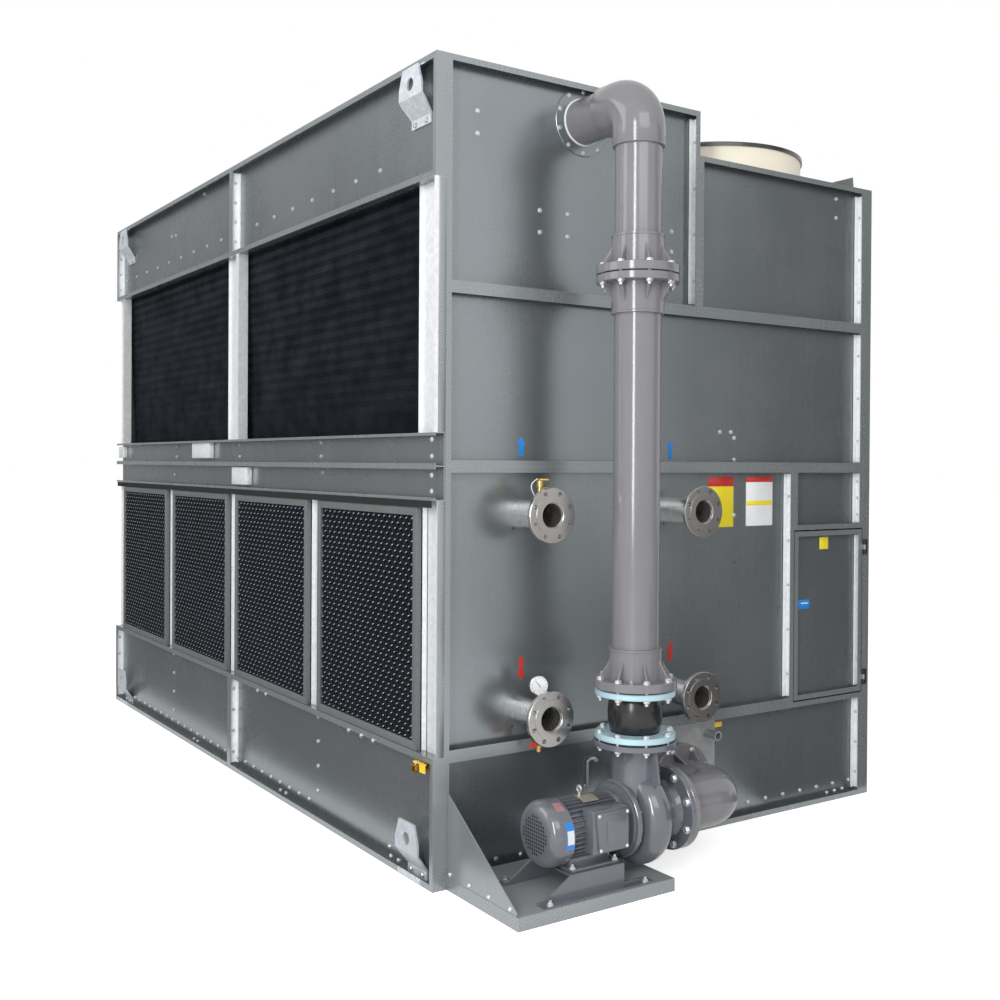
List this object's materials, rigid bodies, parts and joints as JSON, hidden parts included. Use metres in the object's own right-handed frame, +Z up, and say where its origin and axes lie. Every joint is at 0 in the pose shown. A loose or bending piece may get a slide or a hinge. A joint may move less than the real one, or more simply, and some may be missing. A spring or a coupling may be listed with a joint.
{
  "type": "cooling tower",
  "caption": "Closed-circuit cooling tower with slatted air intakes, roof fans, flanged coil connections and a spray pump with its riser beside it.",
  "frame": {"origin": "on the floor under the middle of the whole unit's box, pump set included", "axes": "+Z up, +X to the right as one faces the side with the pump and the coil flanges, +Y away from that side along the air intake side, which faces -X"},
  "size_m": [2.575, 4.848, 3.235],
  "materials": {
    "black_coated": "satin",
    "black_fill": "matte",
    "black_rubber": "matte",
    "brass": "satin",
    "cream_shell": "satin",
    "galvanised": "galvanised",
    "grey_plastic": "semi-gloss",
    "pale_blue": "matte",
    "pump_paint": "semi-gloss",
    "red_plastic": "satin",
    "slate_steel": "satin",
    "stainless": "brushed",
    "yellow_plastic": "satin"
  },
  "bodies": {
    "tower": {"back_upper_panel": "slate_steel", "back_wall": "slate_steel", "basin_floor": "galvanised", "basin_front": "slate_steel", "basin_left_far": "slate_steel", "basin_left_near": "slate_steel", "basin_valve": "brass", "coil_block": "galvanised", "coil_inlet_far": "stainless", "coil_inlet_near": "stainless", "coil_outlet_far": "stainless", "coil_outlet_near": "stainless", "door_hinge_lower": "black_coated", "door_hinge_upper": "black_coated", "drift_eliminator": "black_fill", "expansion_joint": "black_rubber", "fan_deck": "slate_steel", "fan_guard_1": "black_coated", "fan_guard_2": "black_coated", "fan_guard_3": "black_coated", "fan_guard_4": "black_coated", "fan_ring_1": "cream_shell", "fan_ring_2": "cream_shell", "fan_ring_3": "cream_shell", "fan_ring_4": "cream_shell", "fan_rotor_1": "black_coated", "fan_rotor_2": "black_coated", "fan_rotor_3": "black_coated", "fan_rotor_4": "black_coated", "fan_section_back": "slate_steel", "fan_section_front": "slate_steel", "fill_far": "black_fill", "fill_near": "black_fill", "front_lower_panel": "slate_steel", "front_middle_panel": "slate_steel", "front_small_panel": "slate_steel", "front_upper_panel": "slate_steel", "high_roof": "slate_steel", "intake_frame": "galvanised", "intake_rails": "slate_steel", "intake_top_far": "slate_steel", "intake_top_near": "slate_steel", "joint_flange_lower": "pale_blue", "joint_flange_upper": "pale_blue", "louvre_1": "black_fill", "louvre_2": "black_fill", "louvre_3": "black_fill", "louvre_4": "black_fill", "pump_base": "pump_paint", "pump_casing": "pump_paint", "pump_motor": "pump_paint", "pump_platform": "slate_steel", "right_wall": "slate_steel", "riser_lower": "grey_plastic", "riser_upper": "grey_plastic", "suction_pipe": "grey_plastic", "suction_plate": "galvanised"},
    "door": {"access_door": "slate_steel"},
    "basin_lever": {"basin_valve_lever": "yellow_plastic"},
    "drain_handle": {"drain_lever": "red_plastic"}
  },
  "joints": [
    {"name": "door_hinge", "type": "hinge", "parent": "tower", "child": "door", "pos_m": [1.2395, -1.924, 0.521], "axis": [0, 0, 1], "range_deg": [0, 105]},
    {"name": "basin_valve_turn", "type": "hinge", "parent": "tower", "child": "basin_lever", "pos_m": [-1.2755, -1.814, 0.4855], "axis": [0, 0, 1], "range_deg": [-90, 0]},
    {"name": "drain_valve_turn", "type": "hinge", "parent": "tower", "child": "drain_handle", "pos_m": [-0.8095, -2.0065, 0.537], "axis": [0, -1, 0], "range_deg": [0, 90]}
  ]
}
